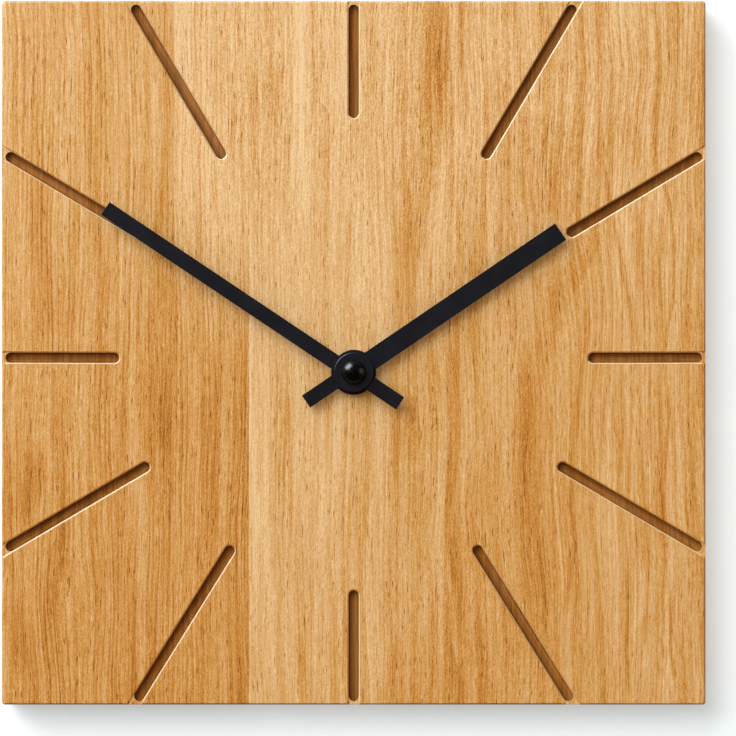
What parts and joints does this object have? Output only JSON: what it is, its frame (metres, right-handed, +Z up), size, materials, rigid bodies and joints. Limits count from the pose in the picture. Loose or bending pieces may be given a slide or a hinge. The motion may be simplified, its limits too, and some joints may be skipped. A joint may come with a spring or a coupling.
{
  "type": "wall clock",
  "caption": "Square oak wall clock with routed hour marks, black bar hands and a battery quartz movement in its back",
  "frame": {"origin": "centre of the hanging eye, on the back face of the hanger plate", "axes": "+X to the right seen from the front, +Y from the dial back into the wall, +Z up"},
  "size_m": [0.25, 0.0338, 0.25],
  "materials": {
    "oak": "satin",
    "hand_black": "satin",
    "cap_black": "gloss",
    "brass": "polished",
    "rubber": "matte",
    "case_plastic": "matte",
    "knob_plastic": "satin",
    "bridge_plastic": "satin",
    "gear_plastic": "satin",
    "bobbin_plastic": "satin",
    "steel": "satin",
    "magnet": "satin",
    "copper": "gloss",
    "circuit": "satin",
    "chip_epoxy": "gloss",
    "cell": "gloss",
    "contact_metal": "polished"
  },
  "bodies": {
    "clock_body": {"board": "oak", "rubber_washer": "rubber", "brass_washer": "brass", "fixing_nut": "brass", "threaded_bush": "brass", "front_case": "case_plastic", "rear_cover": "case_plastic", "hanger": "case_plastic", "train_bridge": "bridge_plastic", "movement_screws": "steel", "stator": "steel", "coil_core": "steel", "coil_bobbin": "bobbin_plastic", "coil_winding": "copper", "circuit_board": "circuit", "chip": "chip_epoxy", "quartz_crystal": "steel", "contact_positive": "contact_metal", "contact_negative": "contact_metal"},
    "minute_group": {"minute_arbor": "brass", "minute_hand": "hand_black", "minute_hub": "hand_black", "cap_nut": "cap_black", "clutch_spring": "steel"},
    "hour_group": {"hour_wheel": "gear_plastic", "hour_hub": "hand_black", "hour_hand": "hand_black"},
    "motion_group": {"motion_wheel": "gear_plastic"},
    "setting_group": {"setting_shaft": "gear_plastic", "setting_knob": "knob_plastic"},
    "rotor_group": {"rotor_pinion": "gear_plastic", "rotor_magnet": "magnet"},
    "fifth_group": {"fifth_wheel": "gear_plastic"},
    "second_group": {"second_wheel": "gear_plastic"},
    "third_group": {"third_wheel": "gear_plastic"},
    "centre_group": {"centre_wheel": "gear_plastic"},
    "battery_group": {"battery": "cell"}
  },
  "joints": [
    {"name": "minute_turn", "type": "hinge", "parent": "clock_body", "child": "minute_group", "pos_m": [0, -0.0275, -0.03548], "axis": [0, 1, 0], "continuous": true},
    {"name": "hour_turn", "type": "hinge", "parent": "clock_body", "child": "hour_group", "pos_m": [0, -0.0256, -0.03548], "axis": [0, 1, 0], "continuous": true},
    {"name": "motion_turn", "type": "hinge", "parent": "clock_body", "child": "motion_group", "pos_m": [0.00846, -0.01175, -0.03856], "axis": [0, 1, 0], "continuous": true},
    {"name": "setting_turn", "type": "hinge", "parent": "clock_body", "child": "setting_group", "pos_m": [0.01296, -0.00212, -0.03077], "axis": [0, 1, 0], "continuous": true},
    {"name": "rotor_turn", "type": "hinge", "parent": "clock_body", "child": "rotor_group", "pos_m": [-0.00678, -0.00485, -0.0204], "axis": [0, 1, 0], "continuous": true},
    {"name": "fifth_turn", "type": "hinge", "parent": "clock_body", "child": "fifth_group", "pos_m": [-0.00328, -0.00335, -0.02646], "axis": [0, 1, 0], "continuous": true},
    {"name": "second_turn", "type": "hinge", "parent": "clock_body", "child": "second_group", "pos_m": [0, -0.00485, -0.03548], "axis": [0, 1, 0], "continuous": true},
    {"name": "third_turn", "type": "hinge", "parent": "clock_body", "child": "third_group", "pos_m": [-0.00952, -0.00635, -0.03548], "axis": [0, 1, 0], "continuous": true},
    {"name": "centre_turn", "type": "hinge", "parent": "clock_body", "child": "centre_group", "pos_m": [0, -0.00845, -0.03548], "axis": [0, 1, 0], "continuous": true},
    {"name": "battery_slide", "type": "slide", "parent": "clock_body", "child": "battery_group", "axis": [0, 1, 0], "range_m": [0, 0.02]}
  ],
  "couplings": [
    {"joint": "hour_turn", "follows": "minute_turn", "ratio": 0.083333},
    {"joint": "motion_turn", "follows": "minute_turn", "ratio": -0.33333},
    {"joint": "setting_turn", "follows": "minute_turn", "ratio": 1},
    {"joint": "fifth_turn", "follows": "rotor_turn", "ratio": -0.16667},
    {"joint": "second_turn", "follows": "rotor_turn", "ratio": 0.033333},
    {"joint": "third_turn", "follows": "rotor_turn", "ratio": -0.0044444},
    {"joint": "centre_turn", "follows": "rotor_turn", "ratio": 0.00055556}
  ]
}
